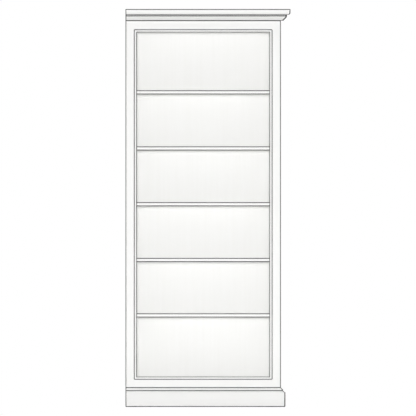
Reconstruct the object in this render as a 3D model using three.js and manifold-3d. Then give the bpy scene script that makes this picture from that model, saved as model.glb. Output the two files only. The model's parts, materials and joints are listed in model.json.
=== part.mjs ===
// Hidden door bookcase: a painted bookcase hangs on a door frame and swings open as its door.
// Millimetres. Seen from the room, +X is to the right, +Y is into the wall and +Z is up.
// While the pieces are made, x = 0 is the middle of the doorway, y = 0 the face of the wall and
// z = 0 the floor. The whole group is moved at the end, so that its origin is its bottom centre.

import * as THREE from 'three';
import { mergeVertices } from 'three/addons/utils/BufferGeometryUtils.js';
import Module from 'manifold-3d';

const wasm = await Module();
wasm.setup();

// Clearances and rounding
const fitGap = 0.3; // between pieces that are let into each other or rest on each other
const cutOverrun = 2; // how far a cutting tool runs past the face that it opens
const pinSides = 16;
const holeSides = 6;
const shelfPinSides = 8;
const wheelSides = 24;
const mouldingSteps = 6;

// Case
const overallHeight = 2133.5;
const caseWidth = 833;
const caseDepth = 305;
const caseTopDrop = 20; // the case stops this far below the top of its crown
const floorGap = 3; // the case and its base clear the floor by this much
const panelThickness = 19;
const housingDepth = 6; // how far a fixed shelf or the back is let into the sides
const backThickness = 6;
const hangingThickness = 22; // stiles and rails behind the back, which carry the hinges
const hangingWidth = 70;
const hangingRailWidth = 90;

// Face frame and the bead round its opening
const frameThickness = 19;
const stileWidth = 48;
const topRailShow = 49.5; // height of the top rail below the crown
const bottomRailShow = 46; // height of the bottom rail above the base
const bottomRailLap = 40; // how far the bottom rail runs down behind the base
const beadWidth = 13;
const beadSetback = 2;
const beadRadius = 4;

// Crown moulding, its section from the soffit up
const crownHeight = 62.5;
const crownProjection = 51.5;
const crownCapHeight = 31;
const crownCapRadius = 12;
const crownFilletHeight = 6;
const crownFilletProjection = 33;
const crownCapStep = 3; // the cap starts this far out from the fillet
const crownSoffit = 15; // flat underside next to the case
const crownNosing = 2.5; // small upright edge in front of the soffit

// Base board and the cap moulding on it
const baseHeight = 103.5;
const baseProjection = 24.5;
const baseCapHeight = 16;
const baseCapProjection = 11.5;
const baseCapNosing = 4.5; // upright edge at the foot of the cap moulding
const baseCapBulgeShares = [0.8, 0.6]; // of its projection and height, which its curve is drawn to
const baseBevelHeight = 10;
const baseBevelKnee = 7; // height of the bevel's flatter upper part
const baseBevelKneeProjection = 19.5;

// Shelves. Their undersides are shares of the height of the opening, from the lowest shelf up.
const shelfThickness = 21.5;
const shelfUndersideShares = [0.172, 0.333, 0.495, 0.657, 0.82];
const shelfSideGap = 1;
const shelfFrontGap = 2;
const shelfBackGap = 1;
const pinHoleRadius = 2.5;
const pinHoleDepth = 10;
const pinHolePitch = 32;
const pinHolesEachWay = 2; // spare holes above and below each pin
const pinSetback = 37; // from the front and the back of the inside
const shelfPinRadius = 3;
const shelfPinLength = 9;

// Door frame
const mountWidth = 60;
const mountThickness = 25;
const frameReveal = 1; // the case covers the door frame's edge by this much
const headCover = 101.5; // from the top of the doorway to the top of the crown
const liningThickness = 19;
const liningDepth = 116;
const swingGap = 2; // between the back of the case and the door frame

// Butt hinges. Their axis lies inside the back left corner of the case.
const hingeInset = 9; // from the axis to the side and to the back of the case
const hingeHeight = 127;
const hingeShares = [0.1, 0.5, 0.9]; // centres, as shares of the doorway's height
const knuckleCount = 5;
const barrelRadius = 7;
const hingePinRadius = 3.5;
const runningGap = 0.1; // round a hinge pin or a caster's axle
const pinHeadRadius = 5.5;
const pinHeadHeight = 3;
const pinHeadRounding = 1.5;
const leafThickness = 4;
const leafWidth = 38;
const bearingHeight = 1.6; // bearing ring between two knuckles
const bearingStep = 1; // the ring is this much smaller in radius than the barrel
const gainGap = 1; // room round the barrel in the case

// Magnetic catches
const catchShares = [0.15, 0.88]; // centres, as shares of the doorway's height
const catchLength = 60;
const catchWidth = 20;
const magnetDepth = 12;
const strikeThickness = 2;

// Casters
const bearerWidth = 110;
const bearerThickness = 38;
const wheelRadius = 37.5;
const treadWidth = 24;
const treadShoulder = 3;
const rimRadius = 28;
const webWidth = 14;
const hubRadius = 11;
const hubWidth = 26;
const forkThickness = 4;
const forkClearance = 1;
const forkPlateLength = 80;
const forkPlateWidth = 60;
const forkLegWidth = 30;
const axleRadius = 5;
const axleHeadRadius = 8;
const axleHeadWidth = 4;

// Places worked out from the sizes
const caseBack = -mountThickness - swingGap;
const caseFront = caseBack - caseDepth;
const frameBack = caseFront + frameThickness;
const hangingFront = caseBack - hangingThickness;
const backFront = hangingFront - backThickness;
const sideOuter = caseWidth / 2;
const sideInner = sideOuter - panelThickness;
const caseTop = overallHeight - caseTopDrop;
const crownBottom = overallHeight - crownHeight;
const frameOpeningTop = crownBottom - topRailShow;
const frameOpeningBottom = baseHeight + bottomRailShow;
const frameOpeningHalf = sideOuter - stileWidth;
const openingTop = frameOpeningTop - beadWidth;
const openingBottom = frameOpeningBottom + beadWidth;
const shelfUndersides = shelfUndersideShares.map((share) => {
  return openingBottom + share * (openingTop - openingBottom);
});
const centreShelf = 2;
const looseUndersides = shelfUndersides.filter((_, index) => index !== centreShelf);
const mountOuter = sideOuter - frameReveal;
const doorwayHalf = mountOuter - mountWidth;
const doorwayHeight = overallHeight - headCover;
const hingeX = -sideOuter + hingeInset;
const hingeY = caseBack - hingeInset;
const hingeBottoms = hingeShares.map((share) => share * doorwayHeight - hingeHeight / 2);
const catchX = doorwayHalf + mountWidth / 2;
const catchBottoms = catchShares.map((share) => share * doorwayHeight - catchLength / 2);
const deckUnderside = openingBottom - panelThickness;
const bearerUnderside = deckUnderside - bearerThickness;

// Directions
const right = new THREE.Vector3(1, 0, 0);
const left = new THREE.Vector3(-1, 0, 0);
const inward = new THREE.Vector3(0, 1, 0);
const outward = new THREE.Vector3(0, -1, 0);
const up = new THREE.Vector3(0, 0, 1);
const down = new THREE.Vector3(0, 0, -1);

// Geometry tools

function solidOf(geometry) {
  const bare = geometry.clone();
  bare.deleteAttribute('normal');
  bare.deleteAttribute('uv');
  const merged = mergeVertices(bare);
  return new wasm.Manifold(new wasm.Mesh({
    numProp: 3,
    vertProperties: Float32Array.from(merged.attributes.position.array),
    triVerts: Uint32Array.from(merged.index.array),
  }));
}

function geometryOf(solid) {
  const mesh = solid.getMesh();
  const geometry = new THREE.BufferGeometry();
  geometry.setAttribute('position', new THREE.BufferAttribute(mesh.vertProperties, 3));
  geometry.setIndex(new THREE.BufferAttribute(mesh.triVerts, 1));
  geometry.computeVertexNormals();
  return geometry;
}

function joined(geometries) {
  return geometries.map(solidOf).reduce((whole, piece) => whole.add(piece));
}

function cut(geometry, tools) {
  return geometryOf(solidOf(geometry).subtract(joined(tools)));
}

// A box between two values on each axis, whose corners are exactly those values.
function block(xs, ys, zs) {
  const geometry = new THREE.BoxGeometry(1, 1, 1);
  const position = geometry.attributes.position;
  const pick = (pair, side) => (side < 0 ? Math.min(...pair) : Math.max(...pair));
  for (let i = 0; i < position.count; i += 1) {
    const x = pick(xs, position.getX(i));
    const y = pick(ys, position.getY(i));
    const z = pick(zs, position.getZ(i));
    position.setXYZ(i, x, y, z);
  }
  return geometry;
}

function rod(radius, start, end, sides) {
  const axis = new THREE.Vector3().subVectors(end, start);
  const middle = new THREE.Vector3().addVectors(start, end).multiplyScalar(0.5);
  const turn = new THREE.Quaternion().setFromUnitVectors(inward, axis.clone().normalize());
  const geometry = new THREE.CylinderGeometry(radius, radius, axis.length(), sides);
  return geometry.applyQuaternion(turn).translate(middle.x, middle.y, middle.z);
}

function uprightRod(radius, low, high, sides) {
  return rod(radius, new THREE.Vector3(0, 0, low), new THREE.Vector3(0, 0, high), sides);
}

// A section turned about the local X axis. Its points are [place along X, radius].
function turnedAlongX(points, sides) {
  const profile = points.map(([along, radius]) => new THREE.Vector2(radius, along));
  return new THREE.LatheGeometry(profile, sides).rotateZ(-Math.PI / 2);
}

// A length of moulding: the section lies in local X and Y and runs along Z. A mitre of 1 makes an
// end longer by as much as the section stands out in X, and a mitre of -1 makes it shorter.
function moulding(section, length, startMitre, endMitre) {
  const settings = { depth: length, bevelEnabled: false, curveSegments: mouldingSteps };
  const geometry = new THREE.ExtrudeGeometry(section, settings);
  const position = geometry.attributes.position;
  for (let i = 0; i < position.count; i += 1) {
    const mitre = position.getZ(i) < length / 2 ? -startMitre : endMitre;
    position.setZ(i, position.getZ(i) + mitre * position.getX(i));
  }
  geometry.computeVertexNormals();
  return geometry;
}

// Finishes, one new material for each piece
const enamel = () => new THREE.MeshStandardMaterial({ color: 0xf1f0ec, roughness: 0.45 });
const steel = () => new THREE.MeshStandardMaterial({ color: 0xa9abad, roughness: 0.35, metalness: 1 });
const darkPlastic = () => new THREE.MeshStandardMaterial({ color: 0x3b3d40, roughness: 0.6 });
const wheelRubber = () => new THREE.MeshStandardMaterial({ color: 0x6d6f72, roughness: 0.7 });

function add(group, name, geometry, material) {
  const mesh = new THREE.Mesh(geometry, material);
  mesh.name = name;
  group.add(mesh);
  return mesh;
}

function turnTo(mesh, origin, xDirection, yDirection) {
  const zDirection = new THREE.Vector3().crossVectors(xDirection, yDirection);
  const basis = new THREE.Matrix4().makeBasis(xDirection, yDirection, zDirection);
  mesh.quaternion.setFromRotationMatrix(basis);
  mesh.position.copy(origin);
}

// Door frame: linings in the doorway, and stiles and a head rail on the face of the wall

function hingeMortises() {
  const front = hingeInset + swingGap;
  return hingeBottoms.map((bottom) => block(
    [hingeX - barrelRadius - fitGap, hingeX + leafWidth + fitGap],
    [hingeY + front - cutOverrun, hingeY + front + leafThickness + fitGap],
    [bottom - fitGap, bottom + hingeHeight + fitGap],
  ));
}

function magnetBlock(bottom, gap) {
  const front = caseBack + fitGap;
  return block(
    [catchX - catchWidth / 2 - gap, catchX + catchWidth / 2 + gap],
    [front - gap, front + magnetDepth + gap],
    [bottom - gap, bottom + catchLength + gap],
  );
}

function strikeBlock(bottom, gap) {
  return block(
    [catchX - catchWidth / 2 - gap, catchX + catchWidth / 2 + gap],
    [caseBack - strikeThickness - gap, caseBack + gap],
    [bottom - gap, bottom + catchLength + gap],
  );
}

function addDoorFrame(group) {
  const mountDepths = [-mountThickness, 0];
  const liningDepths = [0, liningDepth];
  const liningOuter = doorwayHalf + liningThickness;
  const legHeights = [0, doorwayHeight];
  const hingeStile = block([-mountOuter, -doorwayHalf], mountDepths, legHeights);
  const latchStile = block([doorwayHalf, mountOuter], mountDepths, legHeights);
  const magnetPockets = catchBottoms.map((bottom) => magnetBlock(bottom, fitGap));
  const headHeights = [doorwayHeight, doorwayHeight + mountWidth];
  const liningHeadHeights = [doorwayHeight, doorwayHeight + liningThickness];
  add(group, 'mount_stile_hinge', cut(hingeStile, hingeMortises()), enamel());
  add(group, 'mount_stile_latch', cut(latchStile, magnetPockets), enamel());
  add(group, 'mount_head_rail', block([-mountOuter, mountOuter], mountDepths, headHeights), enamel());
  const hingeLining = block([-liningOuter, -doorwayHalf], liningDepths, legHeights);
  const latchLining = block([doorwayHalf, liningOuter], liningDepths, legHeights);
  const headLining = block([-liningOuter, liningOuter], liningDepths, liningHeadHeights);
  add(group, 'jamb_lining_hinge', hingeLining, enamel());
  add(group, 'jamb_lining_latch', latchLining, enamel());
  add(group, 'jamb_lining_head', headLining, enamel());
}

// Case: side panels with their pin holes, housings and hinge gains

function hingeGains() {
  const headRoom = pinHeadHeight + gainGap;
  const reach = barrelRadius + gainGap;
  return hingeBottoms.flatMap((bottom) => [
    block(
      [hingeX - hingeInset - cutOverrun, hingeX + reach],
      [hingeY - reach, caseBack + cutOverrun],
      [bottom - headRoom, bottom + hingeHeight + headRoom],
    ),
    block(
      [hingeX, hingeX + leafWidth + fitGap],
      [caseBack - leafThickness - fitGap, caseBack + cutOverrun],
      [bottom - fitGap, bottom + hingeHeight + fitGap],
    ),
  ]);
}

function sideOutline(side) {
  const inner = side * sideInner;
  const outer = side * sideOuter;
  const shape = new THREE.Shape();
  shape.moveTo(inner, caseBack);
  shape.lineTo(inner, frameBack);
  shape.lineTo(outer, frameBack);
  if (side < 0) {
    shape.lineTo(outer, hingeY);
    shape.absarc(hingeX, hingeY, hingeInset, Math.PI, Math.PI / 2, true);
  } else {
    shape.lineTo(outer, caseBack);
  }
  shape.closePath();
  return shape;
}

// Places of the shelf pins on one side: height of the pin, and where the two of them are in depth.
function pinPlaces() {
  const depths = [frameBack + pinSetback, backFront - pinSetback];
  return looseUndersides.flatMap((underside) => {
    const height = underside - fitGap - shelfPinRadius;
    return depths.map((depth) => ({ height, depth }));
  });
}

function housing(side, underside, thickness) {
  return block(
    [side * (sideInner - cutOverrun), side * (sideInner + housingDepth)],
    [frameBack - cutOverrun, backFront + fitGap],
    [underside - fitGap, underside + thickness + fitGap],
  );
}

function addSidePanel(group, name, side) {
  const settings = { depth: caseTop - floorGap, bevelEnabled: false, curveSegments: mouldingSteps };
  const panel = new THREE.ExtrudeGeometry(sideOutline(side), settings).translate(0, 0, floorGap);
  const along = (distance, depth, height) => new THREE.Vector3(side * distance, depth, height);
  const backGroove = block(
    [side * (sideInner - cutOverrun), side * (sideInner + housingDepth)],
    [backFront - fitGap, hangingFront + fitGap],
    [deckUnderside - fitGap, openingTop + panelThickness + fitGap],
  );
  const tools = [
    housing(side, shelfUndersides[centreShelf], shelfThickness),
    housing(side, deckUnderside, panelThickness),
    housing(side, openingTop, panelThickness),
    backGroove,
  ];
  const pins = [];
  for (const { height, depth } of pinPlaces()) {
    const pinStart = along(sideInner + pinHoleDepth, depth, height);
    const pinEnd = along(sideInner - shelfPinLength, depth, height);
    pins.push(rod(shelfPinRadius, pinStart, pinEnd, shelfPinSides));
    for (let step = -pinHolesEachWay; step <= pinHolesEachWay; step += 1) {
      if (step !== 0) {
        const level = height + step * pinHolePitch;
        const holeEnd = along(sideInner + pinHoleDepth, depth, level);
        tools.push(rod(pinHoleRadius, along(sideInner - cutOverrun, depth, level), holeEnd, holeSides));
      }
    }
  }
  if (side < 0) {
    tools.push(...hingeGains());
  }
  const solid = solidOf(panel).subtract(joined(tools)).add(joined(pins));
  add(group, name, geometryOf(solid), enamel());
}

function addCase(group) {
  addSidePanel(group, 'side_panel_left', -1);
  addSidePanel(group, 'side_panel_right', 1);
  const housed = sideInner + housingDepth - fitGap;
  const housedWidths = [-housed, housed];
  const insideDepths = [frameBack, backFront];
  const level = shelfUndersides[centreShelf];
  const topHeights = [openingTop, openingTop + panelThickness];
  const deckHeights = [deckUnderside, openingBottom];
  const shelfDepths = [frameBack + shelfFrontGap, backFront];
  const shelf = block(housedWidths, shelfDepths, [level, level + shelfThickness]);
  const backHeights = [deckUnderside, openingTop + panelThickness];
  add(group, 'top_panel', block(housedWidths, insideDepths, topHeights), enamel());
  add(group, 'bottom_deck', block(housedWidths, insideDepths, deckHeights), enamel());
  add(group, 'centre_shelf', shelf, enamel());
  add(group, 'back_panel', block(housedWidths, [backFront, hangingFront], backHeights), enamel());
}

// Stiles and rails behind the back panel

function addHangingFrame(group) {
  const depths = [hangingFront, caseBack];
  const heights = [floorGap, caseTop];
  const inner = sideInner - hangingWidth;
  const half = hangingRailWidth / 2;
  const leftStile = block([-sideInner, -inner], depths, heights);
  const rightStile = block([inner, sideInner], depths, heights);
  const strikes = catchBottoms.map((bottom) => strikeBlock(bottom, fitGap));
  const topRail = block([-inner, inner], depths, [openingTop - half, openingTop + half]);
  const bottomRail = block([-inner, inner], depths, [openingBottom - half, openingBottom + half]);
  add(group, 'hanging_stile_left', cut(leftStile, hingeGains()), enamel());
  add(group, 'hanging_stile_right', cut(rightStile, strikes), enamel());
  add(group, 'hanging_rail_top', topRail, enamel());
  add(group, 'hanging_rail_bottom', bottomRail, enamel());
}

// Face frame

function addFaceFrame(group) {
  const depths = [caseFront, frameBack];
  const heights = [floorGap, caseTop];
  const railWidths = [-frameOpeningHalf, frameOpeningHalf];
  const bottomHeights = [baseHeight - bottomRailLap, frameOpeningBottom];
  add(group, 'face_stile_left', block([-sideOuter, -frameOpeningHalf], depths, heights), enamel());
  add(group, 'face_stile_right', block([frameOpeningHalf, sideOuter], depths, heights), enamel());
  add(group, 'face_rail_top', block(railWidths, depths, [frameOpeningTop, caseTop]), enamel());
  add(group, 'face_rail_bottom', block(railWidths, depths, bottomHeights), enamel());
}

function beadSection() {
  const shape = new THREE.Shape();
  const arcY = beadSetback + beadRadius;
  shape.moveTo(0, frameThickness);
  shape.lineTo(0, beadSetback);
  shape.lineTo(beadWidth - beadRadius, beadSetback);
  shape.absarc(beadWidth - beadRadius, arcY, beadRadius, -Math.PI / 2, 0, false);
  shape.lineTo(beadWidth, frameThickness);
  shape.closePath();
  return shape;
}

function addBead(group, name, corner, direction, length) {
  const strip = moulding(beadSection(), length - fitGap, -1, -1);
  const mesh = add(group, name, strip, enamel());
  const run = new THREE.Vector3().crossVectors(direction, inward);
  turnTo(mesh, corner.clone().addScaledVector(run, fitGap / 2), direction, inward);
}

function addBeads(group) {
  const at = (x, z) => new THREE.Vector3(x, caseFront, z);
  const half = frameOpeningHalf;
  const high = frameOpeningTop;
  const low = frameOpeningBottom;
  addBead(group, 'bead_left', at(-half, low), right, high - low);
  addBead(group, 'bead_top', at(-half, high), down, half * 2);
  addBead(group, 'bead_right', at(half, high), left, high - low);
  addBead(group, 'bead_bottom', at(half, low), up, half * 2);
}

// Crown, base board and base cap. Each runs along the front and returns along the right side, and
// is cut flush at the left, where the case folds back against the door frame.

function crownSection() {
  const shape = new THREE.Shape();
  const capBottom = crownHeight - crownCapHeight;
  const filletBottom = capBottom - crownFilletHeight;
  const capStart = crownFilletProjection + crownCapStep;
  const arcX = crownProjection - crownCapRadius;
  const ovoloReach = crownFilletProjection - crownSoffit;
  const ovoloRise = filletBottom - crownNosing;
  shape.moveTo(0, 0);
  shape.lineTo(crownSoffit, 0);
  shape.lineTo(crownSoffit, crownNosing);
  shape.bezierCurveTo(
    crownSoffit + ovoloReach / 2, crownNosing + ovoloRise / 3,
    crownFilletProjection, filletBottom - ovoloRise / 3,
    crownFilletProjection, filletBottom,
  );
  shape.lineTo(crownFilletProjection, capBottom);
  shape.lineTo(capStart, capBottom);
  shape.absarc(arcX, capBottom + crownCapRadius, crownCapRadius, -Math.PI / 2, 0, false);
  shape.lineTo(crownProjection, crownHeight);
  shape.lineTo(0, crownHeight);
  shape.closePath();
  return shape;
}

function baseBoardSection() {
  const shape = new THREE.Shape();
  const height = baseHeight - baseCapHeight - floorGap;
  shape.moveTo(0, 0);
  shape.lineTo(baseProjection, 0);
  shape.lineTo(baseProjection, height - baseBevelHeight);
  shape.lineTo(baseBevelKneeProjection, height - baseBevelKnee);
  shape.lineTo(baseCapProjection, height);
  shape.lineTo(0, height);
  shape.closePath();
  return shape;
}

function baseCapSection() {
  const shape = new THREE.Shape();
  const [outShare, upShare] = baseCapBulgeShares;
  shape.moveTo(0, 0);
  shape.lineTo(baseCapProjection, 0);
  shape.lineTo(baseCapProjection, baseCapNosing);
  shape.quadraticCurveTo(baseCapProjection * outShare, baseCapHeight * upShare, 0, baseCapHeight);
  shape.closePath();
  return shape;
}

function addMitredPair(group, name, section, height) {
  const half = fitGap / 2;
  const front = add(group, `${name}_front`, moulding(section, caseWidth - half, 1, 0), enamel());
  turnTo(front, new THREE.Vector3(sideOuter - half, caseFront, height), outward, up);
  const side = add(group, `${name}_return`, moulding(section, caseDepth - half, 0, 1), enamel());
  turnTo(side, new THREE.Vector3(sideOuter, caseBack, height), right, up);
}

// Shelves that rest on pins

function addLooseShelves(group) {
  const half = sideInner - shelfSideGap;
  const depths = [frameBack + shelfFrontGap, backFront - shelfBackGap];
  const names = ['shelf_lowest', 'shelf_lower', 'shelf_upper', 'shelf_highest'];
  looseUndersides.forEach((underside, index) => {
    const shelf = block([-half, half], depths, [0, shelfThickness]);
    add(group, names[index], shelf, enamel()).position.z = underside;
  });
}

// Butt hinge, in a group whose local Z axis is the hinge axis

function knuckle(index) {
  const pitch = hingeHeight / knuckleCount;
  const low = index === 0 ? 0 : index * pitch + bearingHeight / 2;
  const high = index === knuckleCount - 1 ? hingeHeight : (index + 1) * pitch - bearingHeight / 2;
  return [low, high];
}

function hingePinBore() {
  const radius = hingePinRadius + runningGap;
  return uprightRod(radius, -cutOverrun, hingeHeight + cutOverrun, pinSides);
}

function frameLeaf() {
  const front = hingeInset + swingGap;
  const pieces = [block([-barrelRadius, leafWidth], [front, front + leafThickness], [0, hingeHeight])];
  const ring = bearingHeight - fitGap;
  for (let index = 0; index < knuckleCount; index += 2) {
    const [low, high] = knuckle(index);
    const ringLow = index === 0 ? low : low - ring;
    const ringHigh = index === knuckleCount - 1 ? high : high + ring;
    const neck = [-barrelRadius, leafThickness - barrelRadius];
    pieces.push(uprightRod(barrelRadius, low, high, pinSides));
    pieces.push(uprightRod(barrelRadius - bearingStep, ringLow, ringHigh, pinSides));
    pieces.push(block(neck, [0, front + leafThickness], [low, high]));
  }
  return geometryOf(joined(pieces).subtract(solidOf(hingePinBore())));
}

function caseLeaf() {
  const depths = [hingeInset - leafThickness, hingeInset];
  const plate = block([barrelRadius + gainGap, leafWidth], depths, [0, hingeHeight]);
  const pieces = [plate];
  for (let index = 1; index < knuckleCount; index += 2) {
    const [low, high] = knuckle(index);
    pieces.push(uprightRod(barrelRadius, low, high, pinSides));
    pieces.push(block([0, barrelRadius + cutOverrun], depths, [low, high]));
  }
  return geometryOf(joined(pieces).subtract(solidOf(hingePinBore())));
}

function hingePin() {
  const tip = pinHeadRadius - pinHeadRounding;
  const lowHead = [[0, -pinHeadHeight], [tip, -pinHeadHeight], [pinHeadRadius, -pinHeadRounding]];
  const neck = [[pinHeadRadius, -fitGap], [hingePinRadius, -fitGap]];
  const lower = [...lowHead, ...neck];
  const upper = lower.map(([radius, height]) => [radius, hingeHeight - height]).reverse();
  const points = [...lower, ...upper].map(([radius, height]) => new THREE.Vector2(radius, height));
  return new THREE.LatheGeometry(points, pinSides).rotateX(Math.PI / 2);
}

function addHinges(frameGroup, caseGroup) {
  const names = ['bottom', 'middle', 'top'];
  hingeBottoms.forEach((bottom, index) => {
    const place = new THREE.Vector3(hingeX, hingeY, bottom);
    const name = `hinge_${names[index]}`;
    add(frameGroup, `${name}_frame_leaf`, frameLeaf(), steel()).position.copy(place);
    add(frameGroup, `${name}_pin`, hingePin(), steel()).position.copy(place);
    add(caseGroup, `${name}_case_leaf`, caseLeaf(), steel()).position.copy(place);
  });
}

// Magnetic catches: magnets let into the latch stile, strike plates let into the back of the case

function addCatches(frameGroup, caseGroup) {
  const names = ['lower', 'upper'];
  catchBottoms.forEach((bottom, index) => {
    add(frameGroup, `catch_magnet_${names[index]}`, magnetBlock(bottom, 0), darkPlastic());
    add(caseGroup, `catch_strike_${names[index]}`, strikeBlock(bottom, 0), steel());
  });
}

// Rigid caster, in a group whose local X axis is the axle's direction and whose origin is the floor

function wheelGeometry() {
  const hub = hubWidth / 2;
  const web = webWidth / 2;
  const tread = treadWidth / 2;
  const bore = axleRadius + runningGap * 2;
  const shoulder = wheelRadius - treadShoulder;
  const half = [
    [-hub, bore], [-hub, hubRadius], [-web, hubRadius], [-web, rimRadius],
    [-tread, rimRadius], [-tread, shoulder], [treadShoulder - tread, wheelRadius],
  ];
  const mirrored = half.map(([along, radius]) => [-along, radius]).reverse();
  return turnedAlongX([...half, ...mirrored, half[0]], wheelSides);
}

function forkGeometry() {
  const inner = hubWidth / 2 + forkClearance;
  const outer = inner + forkThickness;
  const top = bearerUnderside;
  const plate = block(
    [-forkPlateWidth / 2, forkPlateWidth / 2],
    [-forkPlateLength / 2, forkPlateLength / 2],
    [top - forkThickness, top],
  );
  const leg = new THREE.Shape();
  const half = forkLegWidth / 2;
  const shoulder = forkPlateLength / 2;
  leg.moveTo(-shoulder, top - forkThickness / 2);
  leg.lineTo(-half, wheelRadius);
  leg.absarc(0, wheelRadius, half, Math.PI, 0, false);
  leg.lineTo(shoulder, top - forkThickness / 2);
  leg.closePath();
  const settings = { depth: forkThickness, bevelEnabled: false, curveSegments: mouldingSteps };
  const legAt = (x) => {
    const upright = new THREE.Matrix4().makeBasis(inward, up, right).setPosition(x, 0, 0);
    return new THREE.ExtrudeGeometry(leg, settings).applyMatrix4(upright);
  };
  const bore = axleRod(axleRadius + runningGap * 2, outer + cutOverrun);
  return geometryOf(joined([plate, legAt(-outer), legAt(inner)]).subtract(solidOf(bore)));
}

function axleRod(radius, reach) {
  const from = new THREE.Vector3(-reach, 0, wheelRadius);
  return rod(radius, from, new THREE.Vector3(reach, 0, wheelRadius), pinSides);
}

function axleGeometry() {
  const outer = hubWidth / 2 + forkClearance + forkThickness;
  const headStart = outer + fitGap;
  const headAt = (side) => {
    const from = new THREE.Vector3(side * headStart, 0, wheelRadius);
    const to = new THREE.Vector3(side * (headStart + axleHeadWidth), 0, wheelRadius);
    return rod(axleHeadRadius, from, to, holeSides);
  };
  return geometryOf(joined([axleRod(axleRadius, headStart + fitGap), headAt(-1), headAt(1)]));
}

function addCasters(group) {
  const across = sideInner - bearerWidth / 2;
  const nearFront = frameBack + bearerWidth / 2;
  const nearBack = hangingFront - bearerWidth / 2;
  const places = {
    front_left: [-across, nearFront],
    front_right: [across, nearFront],
    back_right: [across, nearBack],
  };
  for (const [name, [x, y]] of Object.entries(places)) {
    const caster = new THREE.Group();
    caster.position.set(x, y, 0);
    caster.rotation.z = Math.atan2(y - hingeY, x - hingeX);
    group.add(caster);
    add(caster, `caster_${name}_fork`, forkGeometry(), steel());
    add(caster, `caster_${name}_axle`, axleGeometry(), steel());
    add(caster, `caster_${name}_wheel`, wheelGeometry(), wheelRubber()).position.z = wheelRadius;
  }
}

function addBearers(group) {
  const depths = [frameBack, hangingFront];
  const heights = [bearerUnderside, deckUnderside];
  const inner = sideInner - bearerWidth;
  add(group, 'caster_bearer_left', block([-sideInner, -inner], depths, heights), enamel());
  add(group, 'caster_bearer_right', block([inner, sideInner], depths, heights), enamel());
}

// The whole object: the door frame stands still and the bookcase swings on it

const doorFrame = new THREE.Group();
const bookcase = new THREE.Group();
addDoorFrame(doorFrame);
addCase(bookcase);
addHangingFrame(bookcase);
addFaceFrame(bookcase);
addBeads(bookcase);
addMitredPair(bookcase, 'crown', crownSection(), crownBottom);
addMitredPair(bookcase, 'base_board', baseBoardSection(), floorGap);
addMitredPair(bookcase, 'base_cap', baseCapSection(), baseHeight - baseCapHeight);
addLooseShelves(bookcase);
addHinges(doorFrame, bookcase);
addCatches(doorFrame, bookcase);
addBearers(bookcase);
addCasters(bookcase);

const hiddenDoorBookcase = new THREE.Group();
hiddenDoorBookcase.add(doorFrame, bookcase);
const frontReach = caseFront - crownProjection;
hiddenDoorBookcase.position.set(-crownProjection / 2, -(frontReach + liningDepth) / 2, 0);

export default hiddenDoorBookcase;
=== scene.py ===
import json
import math

import bmesh
import bpy
from mathutils import Matrix, Vector
from mathutils.bvhtree import BVHTree


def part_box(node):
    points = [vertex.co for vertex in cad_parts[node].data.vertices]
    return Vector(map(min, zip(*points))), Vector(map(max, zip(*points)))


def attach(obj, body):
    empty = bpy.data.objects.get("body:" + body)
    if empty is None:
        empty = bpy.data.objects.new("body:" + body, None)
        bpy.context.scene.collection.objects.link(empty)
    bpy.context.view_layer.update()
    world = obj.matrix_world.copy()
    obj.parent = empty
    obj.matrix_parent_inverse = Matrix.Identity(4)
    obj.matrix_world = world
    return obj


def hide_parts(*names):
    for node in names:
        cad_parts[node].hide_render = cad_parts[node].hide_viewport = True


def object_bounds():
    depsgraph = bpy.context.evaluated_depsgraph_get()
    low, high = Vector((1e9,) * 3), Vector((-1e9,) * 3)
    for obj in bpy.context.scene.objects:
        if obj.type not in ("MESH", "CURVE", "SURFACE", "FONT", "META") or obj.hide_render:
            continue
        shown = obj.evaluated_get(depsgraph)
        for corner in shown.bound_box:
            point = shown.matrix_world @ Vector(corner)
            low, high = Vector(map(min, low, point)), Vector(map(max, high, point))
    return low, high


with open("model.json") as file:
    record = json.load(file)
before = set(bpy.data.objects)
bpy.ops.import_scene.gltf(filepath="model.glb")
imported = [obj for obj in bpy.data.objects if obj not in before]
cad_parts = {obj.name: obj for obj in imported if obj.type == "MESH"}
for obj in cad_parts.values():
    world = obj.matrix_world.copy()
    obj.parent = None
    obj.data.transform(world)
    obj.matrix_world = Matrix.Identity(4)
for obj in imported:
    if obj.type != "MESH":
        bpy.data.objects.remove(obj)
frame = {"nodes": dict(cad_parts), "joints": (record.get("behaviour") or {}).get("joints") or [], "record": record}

# The look of a hidden door bookcase: white enamel on wood with a fine dark line along every arris and
# quirk, as in the drawing, which is painted shade given as a charcoal glazing; steel hinges, catches
# and casters hardly show.
cad_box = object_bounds()

MM = 0.001
X, Y, Z = Vector((1, 0, 0)), Vector((0, 1, 0)), Vector((0, 0, 1))

# Finish of the woodwork, with lines of painted shade along its edges
ARRIS = 4.4 * MM  # width of an eased edge on the show faces, its rounding darkened as painted shade
PLAIN_ARRIS = 1.8 * MM  # the same on the boards behind
QUIRK = 2.4 * MM  # painted shade, as a dark glazing, on each side of an inner corner
BESIDE_BEAD = 3.4 * MM  # easing of the arris that the bead lies in
# Widths of painted shade lines: in the bead's quirk, round its nose, at the crown's foot and at the base's foot
BEAD_QUIRK = 1.2 * MM
BEAD_NOSE = 3.6 * MM
CROWN_FOOT_LINE = 3 * MM
CROWN_FILLET = (25.5 * MM, 31.5 * MM)  # the fillet's two edges above the crown's foot
CROWN_FLARE = 0.06  # the painted shade line in front of the crown's mitre widens by this share of the way down
BASE_FOOT_LINE = 1.6 * MM
BASE_MITRE = 6 * MM  # painted shade line in front of the base's mitres
ARRIS_SEGMENTS = 3  # faces across the rounding of an arris
INSET_REACH = 2.5 * MM  # an edge this close to another piece is eased less
JOINT_REACH = 1.5 * MM  # an edge this close stays sharp
SIDE_REACH = 0.1 * MM  # an edge this close to a side of the board's box lies on it
SHORT_EDGE = 15 * MM
SHARP = math.radians(65)  # an arris that is eased turns more than this
CREASE = math.radians(32)  # an edge that turns more than this isn't smoothed over
FLAT = math.radians(1)
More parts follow.
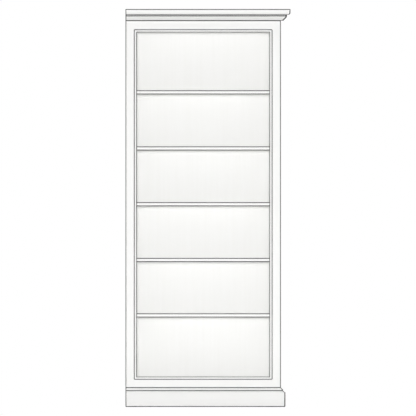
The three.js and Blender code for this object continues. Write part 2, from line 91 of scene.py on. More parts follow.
SQUARE_ON = 0.99  # how far a normal points along an axis on a face that is square to it
WELD = 0.01 * MM
BRUSH_STRETCH = 30  # brush marks are this many times longer than wide

# The drawing's frame: 416 pixels across, and the case's left edge is this far from the frame's
MM_PER_PIXEL = 5.3623
FRAME_PIXELS = 416
LEFT_EDGE_PIXEL = 125.5
CAMERA_DISTANCE = 5

# Light: each lamp's name, where it shines from, how many degrees it spans and its strength
SUNS = [
    ("front", (0, -1, 0.02), 5, 1.54),
    ("left", (-1, 0.1, 0.28), 40, 1.4),
    ("right", (1, 0.1, 0.28), 40, 1.4),
    ("back", (0.1, 1, 0.15), 40, 1.4),
    ("top", (0, -0.2, 1), 60, 0.78),
]
WORLD_LIGHT = 0.17  # strength for the object, and as the camera sees it
WORLD_SEEN = 1.0
FLOOR_SEEN = 0.42  # added to the floor's own light as the camera sees it
FLOOR_RADIUS = 14
FLOOR_SIDES = 96

# Hinges
KNUCKLES = 5
RING_GAP = 1.6 * MM  # between two knuckles
RING_STEP = 1 * MM  # the ring in it is this much smaller in radius
RING_PLAY = 0.15 * MM
LEAF = 4 * MM
PIN_NECK = 3 * MM  # the barrel's radius less the pin's head, and the head's height
EASING = 0.6 * MM
TURNED_STEPS = 48
HEAD_SIDES = 24
HEAD_STEPS = ((0.08, 0.04), (0.34, 0.03), (0.06, -0.3))  # in and up, as shares of the head's radius
HINGE_SCREW = 4.2 * MM
HINGE_SCREW_ROWS = (17 * MM, 30 * MM)  # out from the hinge's axis, in turn
HINGE_SCREW_SHARES = (0.12, 0.37, 0.63, 0.88)  # of the hinge's height
DOME_STEPS = 6  # of a pin's rounded head, from its rim to its top

# Magnetic catches
STRIKE_SCREW = 3.2 * MM
STRIKE_SCREW_INSET = 9 * MM
POLE_OFFSET = 5 * MM
POLE_WIDTH = 3 * MM
POLE_RISE = 0.2 * MM
POLE_INSET = 4 * MM

# Shelf supports: nickelled angles on a peg, in holes with nickelled sleeves
PIN_SETBACK = 37 * MM  # from the front and the back of the inside
PIN_BELOW = 3.3 * MM  # the middle of a peg below its shelf
HOLE_PITCH = 32 * MM
SPARE_HOLES = (-2, -1, 1, 2)  # steps of the pitch from a peg
SLEEVE_SECTION = [(-8, 1.7), (-8, 2), (0, 2), (0, 3.4), (0.2, 3.5), (0.35, 3.3), (0.35, 1.9)]
SLEEVE_STEPS = 16
PIN_WIDTH = 14 * MM
PIN_REACH = 11 * MM
PIN_DROP = 13 * MM
PIN_METAL = 1.4 * MM
PIN_RIVET = 2.6 * MM
PIN_RIVET_DROP = 6 * MM
SEAT_GAP = 0.1 * MM

# Casters: sections as (way along the axle, way out from it), in millimetres
TYRE_SECTION = [(12, 28.5), (12, 34.5), (11, 36.3), (9, 37.3), (4, 37.5)]
HUB_SECTION = [(9.5, 28.5), (7, 25), (7, 12.5), (12, 11), (13, 10), (13, 5.2)]
FORK_METAL = 4 * MM
BOLT = 5.5 * MM
BOLT_SIDES = 6
BOLT_PLACES = [(along, across) for along in (-24, 24) for across in (-30, 30)]

# Dark pile sweep under the base boards: a dark strip that stands for the shadow in the gap under them
SWEEP_SETBACK = 2 * MM
SWEEP_WIDTH = 6 * MM
SWEEP_LIFT = 0.3 * MM

# Places read from the frame
CASE_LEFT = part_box("side_panel_left")[0].x
CASE_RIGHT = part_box("side_panel_right")[1].x
CASE_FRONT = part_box("face_stile_left")[0].y
FRAME_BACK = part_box("face_stile_left")[1].y
BACK_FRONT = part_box("back_panel")[0].y
CROWN_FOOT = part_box("crown_front")[0].z
BASE_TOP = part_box("base_cap_front")[1].z
INSIDE = {  # the inner faces of the side panels
    "left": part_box("hanging_stile_left")[0].x,
    "right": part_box("hanging_stile_right")[1].x,
}
JOINTS = {joint["name"]: joint for joint in frame["joints"]}
HINGE_AXIS = Vector(JOINTS["door_swing"]["pos_m"])
BODY_OF = {
    node: body
    for body, nodes in frame["record"]["behaviour"]["bodies"].items()
    for node in nodes
}

UPRIGHT = [
    "mount_stile_hinge", "mount_stile_latch", "jamb_lining_hinge", "jamb_lining_latch",
    "side_panel_left", "side_panel_right", "back_panel", "hanging_stile_left", "hanging_stile_right",
    "face_stile_left", "face_stile_right", "bead_left", "bead_right",
]
LEVEL = [
    "mount_head_rail", "jamb_lining_head", "top_panel", "bottom_deck", "centre_shelf",
    "shelf_lowest", "shelf_lower", "shelf_upper", "shelf_highest",
    "hanging_rail_top", "hanging_rail_bottom", "face_rail_top", "face_rail_bottom",
    "bead_top", "bead_bottom", "crown_front", "base_board_front", "base_cap_front",
]
DEEP = [
    "crown_return", "base_board_return", "base_cap_return", "caster_bearer_left", "caster_bearer_right",
]
GRAIN = {**dict.fromkeys(UPRIGHT, "z"), **dict.fromkeys(LEVEL, "x"), **dict.fromkeys(DEEP, "y")}
SHOW = ("face_", "bead_", "shelf_", "centre_shelf")
MOULDINGS = ("crown_", "base_")
LOOSE_SHELVES = ("shelf_lowest", "shelf_lower", "shelf_upper", "shelf_highest")


# Materials


def add_node(tree, kind, settings=None, inputs=None):
    """Adds a shader node with its settings, and gives its outputs. Each input is a socket to link or a
    value to set."""
    node = tree.nodes.new(kind)
    for name, value in (settings or {}).items():
        setattr(node, name, value)
    for name, value in (inputs or {}).items():
        if isinstance(value, bpy.types.NodeSocket):
            tree.links.new(value, node.inputs[name])
        else:
            node.inputs[name].default_value = value
    return node.outputs


def linear(hex_colour):
    """The linear colour of an sRGB hex value."""
    values = [int(hex_colour[i:i + 2], 16) / 255 for i in (1, 3, 5)]
    curve = [v / 12.92 if v <= 0.04045 else ((v + 0.055) / 1.055) ** 2.4 for v in values]
    return (*curve, 1.0)


def new_material(name, plain_values):
    """A material whose shader has these values, with its nodes, its shader and its coordinates."""
    material = bpy.data.materials.new(name)
    material.use_nodes = True
    tree = material.node_tree
    shader = tree.nodes["Principled BSDF"]
    for socket, value in plain_values.items():
        shader.inputs[socket].default_value = value
    place = add_node(tree, "ShaderNodeTexCoord")["Object"]
    return material, tree, shader.inputs, place


def per_metre(millimetres):
    """The noise scale whose features are about this size."""
    return 1 / (millimetres * MM)


def white_enamel(grain):
    """Oil enamel brushed out along the grain of primed wood. It is a soft white with a satin gloss, in
    long faint streaks where the brush left more or less, and fine ridges. The faces that the attribute
    marks, along the arrises and in the quirks, are painted near black as a matt charcoal glazing: this is
    painted shade, the dark lines that the edges and inner corners show."""
    name = f"white_enamel_brushed_painted_shade_{grain}"
    material, tree, shader, place = new_material(name, {"IOR": 1.5})
    drawn = [1, 1, 1]
    drawn["xyz".index(grain)] = 1 / BRUSH_STRETCH
    brushed = add_node(tree, "ShaderNodeMapping", {}, {"Vector": place, "Scale": drawn})["Vector"]

    # Real streaks are 2 to 3 mm wide: these are coarser, so that they show at this distance
    inputs = {"Vector": brushed, "Scale": per_metre(14), "Detail": 3}
    streaks = add_node(tree, "ShaderNodeTexNoise", {}, inputs)["Fac"]
    inputs = {"Factor": streaks, 6: linear("#fbfbfa"), 7: linear("#f6f6f4")}
    white = add_node(tree, "ShaderNodeMix", {"data_type": "RGBA"}, inputs)[2]

    # The painted shade of the glazing is a little thinner in places
    inputs = {"Vector": place, "Scale": per_metre(11), "Detail": 3}
    patches = add_node(tree, "ShaderNodeTexNoise", {}, inputs)["Fac"]
    kept = add_node(tree, "ShaderNodeMapRange", {}, {"Value": patches, "To Min": 0.9, "To Max": 1})
    # Painted shade: the marked faces along the arrises and quirks turn near black
    painted_shade_marked = add_node(tree, "ShaderNodeAttribute", {"attribute_name": "glaze_and_painted_shade"})["Fac"]
    painted_shade_amount = add_node(tree, "ShaderNodeMath", {"operation": "MULTIPLY"}, {0: painted_shade_marked, 1: kept["Result"]})
    inputs = {"Factor": painted_shade_amount["Value"], 6: white, 7: linear("#1d1e20")}
    colour = add_node(tree, "ShaderNodeMix", {"data_type": "RGBA"}, inputs)[2]
    tree.links.new(colour, shader["Base Color"])

    # Real ridges are 0.5 mm apart: these are coarser, so that they show close up
    inputs = {"Vector": brushed, "Scale": per_metre(2), "Detail": 3}
    ridges = add_node(tree, "ShaderNodeTexNoise", {}, inputs)["Fac"]
    satin = add_node(tree, "ShaderNodeMapRange", {}, {"Value": ridges, "To Min": 0.42, "To Max": 0.54})
    inputs = {0: painted_shade_amount["Value"], 1: 0.4, 2: satin["Result"]}  # the painted shade strips are matt
    gloss = add_node(tree, "ShaderNodeMath", {"operation": "MULTIPLY_ADD"}, inputs)
    tree.links.new(gloss["Value"], shader["Roughness"])
    inputs = {"Height": ridges, "Strength": 0.25, "Distance": 0.05 * MM}
    tree.links.new(add_node(tree, "ShaderNodeBump", {}, inputs)["Normal"], shader["Normal"])
    return material


def satin_steel(name, light, dark):
    """Steel with the fine upright scratches of the brushing wheel. It has a soft grey sheen."""
    material, tree, shader, place = new_material(name, {"Metallic": 1.0})
    inputs = {"Vector": place, "Scale": [1, 1, 1 / BRUSH_STRETCH]}
    brushed = add_node(tree, "ShaderNodeMapping", {}, inputs)["Vector"]
    # Real scratches are 0.05 mm wide: these are coarser, so that they show close up
    inputs = {"Vector": brushed, "Scale": per_metre(0.5), "Detail": 4}
    scratches = add_node(tree, "ShaderNodeTexNoise", {}, inputs)["Fac"]
    inputs = {"Factor": scratches, 6: linear(light), 7: linear(dark)}
    colour = add_node(tree, "ShaderNodeMix", {"data_type": "RGBA"}, inputs)[2]
    tree.links.new(colour, shader["Base Color"])
    gloss = add_node(tree, "ShaderNodeMapRange", {}, {"Value": scratches, "To Min": 0.26, "To Max": 0.42})
    tree.links.new(gloss["Result"], shader["Roughness"])
    inputs = {"Height": scratches, "Strength": 0.2, "Distance": 0.03 * MM}
    tree.links.new(add_node(tree, "ShaderNodeBump", {}, inputs)["Normal"], shader["Normal"])
    return material


def moulded(name, light, dark, stipple_size, roughness):
    """A moulded matt surface with a fine stipple and a slight change of tone."""
    material, tree, shader, place = new_material(name, {"Roughness": roughness})
    inputs = {"Vector": place, "Scale": per_metre(12 * stipple_size), "Detail": 3}
    tone = add_node(tree, "ShaderNodeTexNoise", {}, inputs)["Fac"]
    inputs = {"Factor": tone, 6: linear(light), 7: linear(dark)}
    colour = add_node(tree, "ShaderNodeMix", {"data_type": "RGBA"}, inputs)[2]
    tree.links.new(colour, shader["Base Color"])
    # Real stipple is 0.2 mm: the sizes given are coarser, so that it shows close up
    inputs = {"Vector": place, "Scale": per_metre(stipple_size), "Detail": 4}
    stipple = add_node(tree, "ShaderNodeTexNoise", {}, inputs)["Fac"]
    inputs = {"Height": stipple, "Strength": 0.4, "Distance": 0.05 * MM}
    tree.links.new(add_node(tree, "ShaderNodeBump", {}, inputs)["Normal"], shader["Normal"])
    return material


def woven_pile(name, light, dark):
    """Short upright fibres of polypropylene, black with a soft sheen on the tips."""
    material, tree, shader, place = new_material(name, {"Roughness": 0.9, "Sheen Weight": 0.3})
    inputs = {"Vector": place, "Scale": [1, 1, 1 / BRUSH_STRETCH]}
    upright = add_node(tree, "ShaderNodeMapping", {}, inputs)["Vector"]
    # Real fibres are 0.1 mm thick: these tufts of them are the finest that show
    inputs = {"Vector": upright, "Scale": per_metre(1.5), "Detail": 4}
    tufts = add_node(tree, "ShaderNodeTexNoise", {}, inputs)["Fac"]
    inputs = {"Factor": tufts, 6: linear(light), 7: linear(dark)}
    colour = add_node(tree, "ShaderNodeMix", {"data_type": "RGBA"}, inputs)[2]
    tree.links.new(colour, shader["Base Color"])
    inputs = {"Height": tufts, "Strength": 0.6, "Distance": 0.3 * MM}
    tree.links.new(add_node(tree, "ShaderNodeBump", {}, inputs)["Normal"], shader["Normal"])
    return material


ENAMEL = {grain: white_enamel(grain) for grain in "xyz"}
STEEL = satin_steel("satin_steel", "#c6c7c8", "#a3a5a7")
NICKEL = satin_steel("nickel_plated_steel", "#d4d0c8", "#b4b0a8")
ZINC = satin_steel("zinc_plated_steel", "#bcc1c6", "#999da3")
PLASTIC = moulded("matt_abs", "#2c2d30", "#222326", 0.8, 0.55)
NYLON = moulded("glass_filled_nylon", "#4a4c50", "#3f4145", 0.8, 0.5)
RUBBER = moulded("grey_thermoplastic_rubber", "#77797c", "#686a6d", 1.2, 0.7)
# The pile's black also stands for the shadow in the gap under the base
PILE = woven_pile("black_polypropylene_pile", "#1c1d1f", "#2b2c2f")


# Finished pieces


def finish_piece(bm, name, material, body, slot, *replaced):
    """Makes the object of a piece that rides on its body and stands for the replaced nodes."""
    for edge in bm.edges:
        if len(edge.link_faces) == 2 and edge.calc_face_angle(0) > CREASE:
            edge.smooth = False
    mesh = bpy.data.meshes.new(name)
    bm.to_mesh(mesh)
    bm.free()
    mesh.shade_smooth()
    mesh.materials.append(material)
    piece = bpy.data.objects.new(name, mesh)
    bpy.context.collection.objects.link(piece)
    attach(piece, body)
    if replaced:
        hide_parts(*replaced)


# Boards and mouldings


def copy_of(node):
    """The node's solid with its doubles merged and its flat faces joined up."""
    bm = bmesh.new()
    bm.from_mesh(frame["nodes"][node].data)
    bmesh.ops.remove_doubles(bm, verts=bm.verts, dist=WELD)
    bmesh.ops.dissolve_limit(bm, angle_limit=FLAT, verts=bm.verts, edges=bm.edges)
    return bm


def cut_faces(bm, place, normal, **sides):
    """Cuts the faces along a plane."""
    everything = bm.verts[:] + bm.edges[:] + bm.faces[:]
    bmesh.ops.bisect_plane(bm, geom=everything, dist=WELD, plane_co=place, plane_no=normal, **sides)


def search_tree(nodes):
    verts, polygons = [], []
    for node in nodes:
        mesh = frame["nodes"][node].data
        start = len(verts)
        verts.extend(v.co.copy() for v in mesh.vertices)
        polygons.extend([start + i for i in p.vertices] for p in mesh.polygons)
    return BVHTree.FromPolygons(verts, polygons)


def free_edges(bm, node, reach):
    """The arrises of a board that no other piece reaches at their middle. Each lies on two sides of the
    board's box, so the edges of gains and holes stay sharp."""
    others = search_tree(other for other in frame["nodes"] if other != node)
    low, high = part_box(node)
    found = []
    for edge in bm.edges:
        middle = (edge.verts[0].co + edge.verts[1].co) / 2
        sides = sum(min(abs(middle[i] - low[i]), abs(middle[i] - high[i])) < SIDE_REACH for i in range(3))
        if len(edge.link_faces) == 2 and edge.calc_length() > SHORT_EDGE and sides == 2:
            touched = others.find_nearest(middle, reach)[0] is not None
            if edge.calc_face_angle(0) > SHARP and not touched:
                found.append(edge)
    return found


def ease_edges(bm, edges, width, glaze_and_painted_shade):
    """Rounds the edges and marks the rounding for the dark glazing that is painted shade. The flat faces beside it
    stay flat.
    """
    if not edges:
        return
    settings = {"offset_type": "OFFSET", "segments": ARRIS_SEGMENTS, "profile": 0.5, "affect": "EDGES"}
    eased = bmesh.ops.bevel(bm, geom=edges, offset=width, clamp_overlap=True, material=-1, **settings)
    rounded = set(eased["faces"])
    for face in rounded:
        face[glaze_and_painted_shade] = 1.0
        for edge in face.edges:
            if any(other not in rounded for other in edge.link_faces):
                edge.smooth = False


def take_off_pins(bm, side):
    """Cuts the solid's plain shelf pins off the panel, just clear of its inner face."""
    inwards = X if side == "left" else -X
    place = X * INSIDE[side] + inwards * (2 * WELD)
    cut_faces(bm, place, inwards, clear_outer=True)
    bmesh.ops.edgeloop_fill(bm, edges=[edge for edge in bm.edges if edge.is_boundary])


def painted_board(node, cuts, lines):
    """The node's board with its free arrises eased and marked for the dark glazing, which is painted
    shade. It is cut first at the planes in cuts, so that only the free stretch of an arris is eased. Each
    line is (place, normal, width): a strip of painted shade on the far side of a plane. The faces at the
    flush side, at the back and on top of the crown stay plain."""
    bm = copy_of(node)
    for place, normal in cuts:
        cut_faces(bm, place, normal)
    glaze_and_painted_shade = bm.faces.layers.float.new("glaze_and_painted_shade")
    if not node.startswith(MOULDINGS):
        width = ARRIS if node.startswith(SHOW) else PLAIN_ARRIS
        ease_edges(bm, free_edges(bm, node, INSET_REACH), width, glaze_and_painted_shade)
        ease_edges(bm, free_edges(bm, node, JOINT_REACH), min(width, BESIDE_BEAD), glaze_and_painted_shade)
    for place, normal, width in lines:
        cut_faces(bm, place, normal)
        cut_faces(bm, place + normal * width, normal)
        for face in bm.faces:
            out = face.normal
            on_top = node.startswith("crown") and out.z > SQUARE_ON
            plain = out.x < -SQUARE_ON or out.y > SQUARE_ON or on_top
            if 0 < (face.calc_center_median() - place).dot(normal) < width and not plain:
                face[glaze_and_painted_shade] = 1.0
    if node.startswith("side_panel"):
        take_off_pins(bm, node.split("_")[-1])
    finish_piece(bm, f"{node}_painted", ENAMEL[GRAIN[node]], BODY_OF[node], "white_enamel", node)


def level_cuts(*nodes):
    """Planes at the top and bottom of the nodes, where they meet the board that is cut."""
    return [(Z * corner.z, Z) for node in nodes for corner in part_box(node)]


def side_cuts(*nodes):
    return [(X * corner.x, X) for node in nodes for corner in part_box(node)]


CUTS = {
    "face_stile_left": level_cuts("face_rail_top", "face_rail_bottom"),
    "face_stile_right": level_cuts("face_rail_top", "face_rail_bottom"),
    "hanging_stile_left": level_cuts("hanging_rail_top", "hanging_rail_bottom"),
    "hanging_stile_right": level_cuts("hanging_rail_top", "hanging_rail_bottom"),
    "mount_head_rail": side_cuts("mount_stile_hinge", "mount_stile_latch"),
}


def moulding_lines(node):
    """Painted shade lines, as a dark glazing: beside the mitre, at the flush or the back end, in the
    corners at the top and the foot, and along both edges of the crown's fillet. In front of the mitre
    they are wider, and on the crown more so towards the foot, as the drawing's outline is bolder there."""
    low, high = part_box(node)
    corner = Vector((CASE_RIGHT, CASE_FRONT, 0))
    across = (X + Y).normalized()
    beside = ARRIS / math.sqrt(2)
    lines = [(corner - across * beside, across, beside * 2)]
    lines.append((low, X, ARRIS) if node.endswith("_front") else (high, -Y, ARRIS))
    foot = {"crown": CROWN_FOOT_LINE, "base_board": BASE_FOOT_LINE}.get(node.rsplit("_", 1)[0], QUIRK)
    lines.append((low, Z, foot))
    lines.append((high, -Z, ARRIS if node.startswith("crown") else QUIRK))
    if node.startswith("crown"):
        lines.extend((low + Z * (edge - ARRIS / 2), Z, ARRIS) for edge in CROWN_FILLET)
        leaning = (across - Z * CROWN_FLARE).normalized()
        lines.append((corner + Z * high.z - leaning * beside, leaning, beside * 2))
    else:
        in_front = BASE_MITRE / math.sqrt(2)
        lines.append((corner - across * in_front, across, in_front))
    return lines


def bead_lines(node):
    """Painted shade lines on both sides of a bead, as a dark glazing: in the quirk beside the stile or rail, and
    round its nose.
    """
    low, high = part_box(node)
    outer, inner, inwards = {
        "bead_left": (low, high, X),
        "bead_right": (high, low, -X),
        "bead_top": (high, low, -Z),
        "bead_bottom": (low, high, Z),
    }[node]
    return [(outer, inwards, BEAD_QUIRK), (inner, -inwards, BEAD_NOSE)]


def lines_of(node):
    if node.startswith(MOULDINGS):
        return moulding_lines(node)
    if node.startswith("bead_"):
        return bead_lines(node)
    # Painted shade lines on the stiles, rails and right side, under the crown's foot and above the base
    if node.startswith("face_") or node == "side_panel_right":
        return [(Z * CROWN_FOOT, -Z, QUIRK), (Z * BASE_TOP, Z, QUIRK)]
    return []


for board in GRAIN:
    painted_board(board, CUTS.get(board, []), lines_of(board))


# Ironmongery


def facing(place, direction):
    """A matrix that turns a shape's Z axis to the direction and moves it to the place."""
    return Matrix.Translation(place) @ direction.to_track_quat("Z", "Y").to_matrix().to_4x4()


def put_made(bm, before, matrix):
    """Moves what was made since the set of vertices before, and points its faces outwards."""
    made = [v for v in bm.verts if v not in before]
    bmesh.ops.transform(bm, matrix=matrix, verts=made)
    bmesh.ops.recalc_face_normals(bm, faces=list({face for v in made for face in v.link_faces}))


def add_plate(bm, low, high, easing=EASING, matrix=Matrix()):
    """A plate between two corners with its edges eased."""
    before = set(bm.verts)
    made = bmesh.ops.create_cube(bm, size=1)["verts"]
    bmesh.ops.scale(bm, vec=high - low, verts=made)
    bmesh.ops.translate(bm, vec=(low + high) / 2, verts=made)
    edges = list({edge for v in made for edge in v.link_edges})
    settings = {"offset_type": "OFFSET", "segments": 2, "profile": 0.5, "affect": "EDGES"}
    bmesh.ops.bevel(bm, geom=edges, offset=easing, clamp_overlap=True, material=-1, **settings)
    put_made(bm, before, matrix)


def add_turned(bm, profile, matrix, closed=False, steps=TURNED_STEPS):
    """A round piece: the profile of (height, radius) points turned about the local Z axis."""
    before = set(bm.verts)
    verts = [bm.verts.new((radius, 0, height)) for height, radius in profile]
    edges = [bm.edges.new(pair) for pair in zip(verts, verts[1:])]
    if closed:
        edges.append(bm.edges.new((verts[-1], verts[0])))
    spin = {"cent": (0, 0, 0), "axis": (0, 0, 1), "angle": math.tau, "steps": steps}
    bmesh.ops.spin(bm, geom=verts + edges, use_merge=True, **spin)
    made = [v for v in bm.verts if v not in before]
    bmesh.ops.remove_doubles(bm, verts=made, dist=WELD)
    put_made(bm, before, matrix)


def barrel(low, high, radius):
    return [
        (low, 0), (low, radius - EASING), (low + EASING, radius),
        (high - EASING, radius), (high, radius - EASING), (high, 0),
    ]


def add_head(bm, place, direction, radius, sides=HEAD_SIDES):
    """The head of a screw or a bolt, let into its plate, with a rounded edge and a socket."""
    before = set(bm.verts)
    cone = {"segments": sides, "radius1": radius, "radius2": radius, "depth": radius / 2}
    bmesh.ops.create_cone(bm, cap_ends=True, cap_tris=False, **cone)
    made = [v for v in bm.verts if v not in before]
    top = max({face for v in made for face in v.link_faces}, key=lambda f: f.calc_center_median().z)
    for inset, rise in HEAD_STEPS:
        bmesh.ops.inset_region(bm, faces=[top], thickness=inset * radius, depth=rise * radius)
    put_made(bm, before, facing(place, direction) @ Matrix.Translation(-Z * radius / 4))


def add_leaf_screws(bm, foot, plane, outwards, height):
    """The screws of a hinge's leaf, staggered in two rows."""
    for index, share in enumerate(HINGE_SCREW_SHARES):
        out = HINGE_SCREW_ROWS[index % 2]
        place = Vector((foot.x + out, plane, foot.z + share * height))
        add_head(bm, place, outwards, HINGE_SCREW)


def add_knuckles(bm, foot, pitch, radius, arm, first):
    """Every other knuckle, from the first on, each with the arm that joins it to its leaf. The arm is
    two corners from the hinge's axis."""
    for index in range(first, KNUCKLES, 2):
        bottom = index * pitch + (RING_GAP / 2 if index else 0)
        top = (index + 1) * pitch - (RING_GAP / 2 if index < KNUCKLES - 1 else 0)
        add_turned(bm, barrel(bottom, top, radius), Matrix.Translation(foot))
        add_plate(bm, foot + arm[0] + Z * bottom, foot + arm[1] + Z * top)


def add_rings(bm, foot, pitch, radius):
    """The turned bearing rings between the knuckles."""
    for index in range(1, KNUCKLES):
        middle = index * pitch
        half = RING_GAP / 2 - RING_PLAY
        ring = barrel(middle - half, middle + half, radius - RING_STEP)
        add_turned(bm, ring, Matrix.Translation(foot))


def add_hinge(level):
    """A butt hinge in three pieces: the leaf on the door frame, whose knuckles reach round the back
    corner of the case, the leaf on the case, and the pin."""
    frame_leaf, case_leaf, pin = (f"hinge_{level}_{part}" for part in ("frame_leaf", "case_leaf", "pin"))
    low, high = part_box(frame_leaf)
    foot = Vector((HINGE_AXIS.x, HINGE_AXIS.y, low.z))
    radius = foot.x - low.x
    height = high.z - low.z
    pitch = height / KNUCKLES

    bm = bmesh.new()
    front = high.y - LEAF
    add_plate(bm, Vector((low.x, front, low.z)), high)
    arm = Vector((-radius, 0, 0)), Vector((LEAF - radius, high.y - foot.y, 0))
    add_knuckles(bm, foot, pitch, radius, arm, 0)
    add_leaf_screws(bm, foot, front, -Y, height)
    finish_piece(bm, f"{frame_leaf}_satin", STEEL, BODY_OF[frame_leaf], "steel", frame_leaf)

    bm = bmesh.new()
    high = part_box(case_leaf)[1]
    front = high.y - LEAF
    add_plate(bm, Vector((foot.x + radius + RING_STEP, front, foot.z)), high)
    arm = Vector((0, front - foot.y, 0)), Vector((radius + 2 * RING_STEP, high.y - foot.y, 0))
    add_knuckles(bm, foot, pitch, radius, arm, 1)
    add_rings(bm, foot, pitch, radius)
    add_leaf_screws(bm, foot, high.y, Y, height)
    finish_piece(bm, f"{case_leaf}_satin", STEEL, BODY_OF[case_leaf], "steel", case_leaf)

    bm = bmesh.new()
    low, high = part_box(pin)
    tip = foot.x - low.x
    angles = [step * math.pi / 2 / DOME_STEPS for step in range(DOME_STEPS + 1)]
    dome = [(PIN_NECK * math.sin(angle), tip * math.cos(angle)) for angle in angles]
    for end, outwards in ((low, -Z), (high, Z)):
        root = Vector((foot.x, foot.y, end.z)) - outwards * PIN_NECK
        add_turned(bm, [(0, 0), *dome], facing(root, outwards))
    shank = barrel(low.z - foot.z + PIN_NECK, high.z - foot.z - PIN_NECK, tip - PIN_NECK)
    add_turned(bm, shank, Matrix.Translation(foot))
    finish_piece(bm, f"{pin}_satin", STEEL, BODY_OF[pin], "steel", pin)


def add_catch(level):
    """A magnetic catch: the poles on the face of its plastic case, and the plate that it holds."""
    magnet = f"catch_magnet_{level}"
    low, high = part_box(magnet)
    middle = (low + high) / 2
    bm = bmesh.new()
    for offset in (-POLE_OFFSET, POLE_OFFSET):
        left = middle.x + offset - POLE_WIDTH / 2
        start = Vector((left, low.y - POLE_RISE, low.z + POLE_INSET))
        end = Vector((left + POLE_WIDTH, low.y + POLE_WIDTH, high.z - POLE_INSET))
        add_plate(bm, start, end, POLE_RISE / 2)
    finish_piece(bm, f"{magnet}_poles", STEEL, BODY_OF[magnet], "steel")

    strike = f"catch_strike_{level}"
    low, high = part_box(strike)
    bm = bmesh.new()
    add_plate(bm, low, high)
    for height in (low.z + STRIKE_SCREW_INSET, high.z - STRIKE_SCREW_INSET):
        sunk = Vector((middle.x, high.y - POLE_RISE, height))
        add_head(bm, sunk, Y, STRIKE_SCREW)
    finish_piece(bm, f"{strike}_satin", STEEL, BODY_OF[strike], "steel", strike)


def add_shelf_supports(side):
    """The angles under the loose shelves on one side: a tab that carries the shelf, a leg against the
    panel, and the riveted end of the peg."""
    inwards = X if side == "left" else -X
    towards = Matrix.Diagonal((inwards.x, 1, 1, 1))
    half = PIN_WIDTH / 2
    bm = bmesh.new()
    for shelf in LOOSE_SHELVES:
        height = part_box(shelf)[0].z - SEAT_GAP
        for depth in (FRAME_BACK + PIN_SETBACK, BACK_FRONT - PIN_SETBACK):
            corner = Vector((INSIDE[side], depth, height)) + inwards * SEAT_GAP
            turned = Matrix.Translation(corner) @ towards
            tab_low, tab_high = Vector((0, -half, -PIN_METAL)), Vector((PIN_REACH, half, 0))
            leg_low, leg_high = Vector((0, -half, -PIN_DROP)), Vector((PIN_METAL, half, 0))
            add_plate(bm, tab_low, tab_high, PIN_METAL / 4, turned)
            add_plate(bm, leg_low, leg_high, PIN_METAL / 4, turned)
            rivet = corner + inwards * PIN_METAL - Z * PIN_RIVET_DROP
            add_head(bm, rivet, inwards, PIN_RIVET)
    finish_piece(bm, f"shelf_supports_{side}", NICKEL, "bookcase", "steel")


def add_sleeves(side):
    """The flanged sleeves of the spare holes above and below each peg."""
    inwards = X if side == "left" else -X
    section = [(out * MM, radius * MM) for out, radius in SLEEVE_SECTION]
    bm = bmesh.new()
    for shelf in LOOSE_SHELVES:
        for step in SPARE_HOLES:
            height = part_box(shelf)[0].z - PIN_BELOW + step * HOLE_PITCH
            for depth in (FRAME_BACK + PIN_SETBACK, BACK_FRONT - PIN_SETBACK):
                place = facing(Vector((INSIDE[side], depth, height)), inwards)
                add_turned(bm, section, place, closed=True, steps=SLEEVE_STEPS)
    finish_piece(bm, f"shelf_pin_sleeves_{side}", NICKEL, "bookcase", "steel")


def both_sides(section):
    """The whole section of a wheel's part, from its half."""
    near = [(-along * MM, out * MM) for along, out in section]
    far = [(along * MM, out * MM) for along, out in reversed(section)]
    return near + far


def add_caster(name):
    """A rigid caster: rubber tyre, turned nylon hub and the bolts of its plate."""
    joint = JOINTS[f"{name}_wheel_spin"]
    centre, axle = Vector(joint["pos_m"]), Vector(joint["axis"])
    wheel, fork = f"caster_{name}_wheel", f"caster_{name}_fork"
    bm = bmesh.new()
    add_turned(bm, both_sides(TYRE_SECTION), facing(centre, axle), closed=True)
    finish_piece(bm, f"{wheel}_tyre", RUBBER, BODY_OF[wheel], "wheel_rubber", wheel)

    bm = bmesh.new()
    add_turned(bm, both_sides(HUB_SECTION), facing(centre, axle), closed=True)
    finish_piece(bm, f"{wheel}_hub", NYLON, BODY_OF[wheel], "dark_plastic", wheel)

    bm = bmesh.new()
    plate = Vector((centre.x, centre.y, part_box(fork)[1].z - FORK_METAL))
    for along, across in BOLT_PLACES:
        place = plate + axle * (along * MM) + Z.cross(axle) * (across * MM)
        add_head(bm, place - Z * (BOLT / 2), -Z, BOLT, sides=BOLT_SIDES)
    finish_piece(bm, f"{fork}_bolts", ZINC, BODY_OF[fork], "steel")


def add_dark_sweep_for_shadow_line():
    """A strip of dark pile in the underside of the base boards. It fills the gap under them, where there
    is only shadow, and so stands as the dark shadow line at the foot. It also keeps light from showing
    under the door and brushes the floor."""
    low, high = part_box("base_board_front")
    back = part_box("base_board_return")[1].y
    start, end = low.y + SWEEP_SETBACK, low.y + SWEEP_SETBACK + SWEEP_WIDTH
    right = high.x - SWEEP_SETBACK
    bm = bmesh.new()
    front_strip = Vector((low.x + EASING, start, SWEEP_LIFT)), Vector((right, end, low.z))
    side_strip = Vector((right - SWEEP_WIDTH, end, SWEEP_LIFT)), Vector((right, back - EASING, low.z))
    for strip in (front_strip, side_strip):
        add_plate(bm, *strip, SWEEP_LIFT)
    finish_piece(bm, "base_pile_sweep_shadow_line", PILE, "bookcase", "dark_plastic")


for level in ("bottom", "middle", "top"):
    add_hinge(level)
for level in ("lower", "upper"):
    add_catch(level)
for side in INSIDE:
    add_shelf_supports(side)
    add_sleeves(side)
for name in ("front_left", "front_right", "back_right"):
    add_caster(name)
add_dark_sweep_for_shadow_line()

# The solids that show as they are
for node in sorted(frame["nodes"]):
    if node.startswith("catch_magnet") or node.endswith(("_fork", "_axle")):
        for place in frame["nodes"][node].material_slots:
            place.material = PLASTIC if node.startswith("catch_magnet") else ZINC


# Camera, light and backdrop


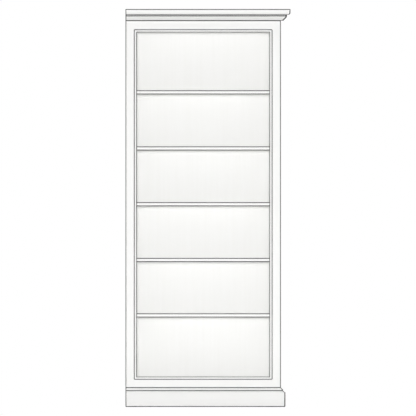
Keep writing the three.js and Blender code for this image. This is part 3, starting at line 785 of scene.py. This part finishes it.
def add_camera():
    data = bpy.data.cameras.new("elevation")
    data.type = "ORTHO"
    data.ortho_scale = FRAME_PIXELS * MM_PER_PIXEL * MM
    camera = bpy.data.objects.new("elevation", data)
    across = (FRAME_PIXELS / 2 - LEFT_EDGE_PIXEL) * MM_PER_PIXEL * MM
    camera.location = (CASE_LEFT + across, -CAMERA_DISTANCE, (cad_box[0].z + cad_box[1].z) / 2)
    camera.rotation_euler = (math.radians(90), 0, 0)
    bpy.context.collection.objects.link(camera)
    bpy.context.scene.camera = camera


def add_soft_sun(name, from_place, spread, strength):
    """Even light from far away, as from a large softbox that spans this many degrees."""
    data = bpy.data.lights.new(name, "SUN")
    data.energy = strength
    data.angle = math.radians(spread)
    lamp = bpy.data.objects.new(name, data)
    lamp.rotation_mode = "QUATERNION"
    lamp.rotation_quaternion = (-Vector(from_place)).to_track_quat("-Z", "Y")
    bpy.context.collection.objects.link(lamp)


def add_seen(tree, low, high):
    """The high value for what the camera sees, straight or in gloss and glass, and the low value for
    what lights the object."""
    rays = add_node(tree, "ShaderNodeLightPath")
    straight = rays["Is Camera Ray"]
    gloss = {0: straight, 1: rays["Is Glossy Ray"]}
    either = add_node(tree, "ShaderNodeMath", {"operation": "MAXIMUM"}, gloss)["Value"]
    glass = {0: either, 1: rays["Is Transmission Ray"]}
    any_of_them = add_node(tree, "ShaderNodeMath", {"operation": "MAXIMUM"}, glass)["Value"]
    inputs = {"Value": any_of_them, "To Min": low, "To Max": high}
    return add_node(tree, "ShaderNodeMapRange", {}, inputs)["Result"]


def add_surroundings():
    world = bpy.data.worlds.new("white_studio")
    world.use_nodes = True
    tree = world.node_tree
    background = tree.nodes["Background"].inputs
    background["Color"].default_value = (1, 1, 1, 1)
    tree.links.new(add_seen(tree, WORLD_LIGHT, WORLD_SEEN), background["Strength"])
    bpy.context.scene.world = world
    for sun in SUNS:
        add_soft_sun(*sun)


def add_floor():
    bm = bmesh.new()
    bmesh.ops.create_circle(bm, cap_ends=True, segments=FLOOR_SIDES, radius=FLOOR_RADIUS)
    mesh = bpy.data.meshes.new("studio_floor")
    bm.to_mesh(mesh)
    bm.free()
    material, tree, shader, place = new_material("matt_pale_floor", {"Roughness": 0.9})
    inputs = {"Vector": place, "Scale": per_metre(300), "Detail": 3}
    scuffs = add_node(tree, "ShaderNodeTexNoise", {}, inputs)["Fac"]
    inputs = {"Factor": scuffs, 6: linear("#dfdfdf"), 7: linear("#dcdcdc")}
    colour = add_node(tree, "ShaderNodeMix", {"data_type": "RGBA"}, inputs)[2]
    tree.links.new(colour, shader["Base Color"])
    shader["Emission Color"].default_value = (1, 1, 1, 1)
    tree.links.new(add_seen(tree, 0.0, FLOOR_SEEN), shader["Emission Strength"])
    mesh.materials.append(material)
    floor = bpy.data.objects.new("studio_floor", mesh)
    bpy.context.collection.objects.link(floor)


add_camera()
add_surroundings()
add_floor()
bpy.context.scene.view_settings.view_transform = "Standard"
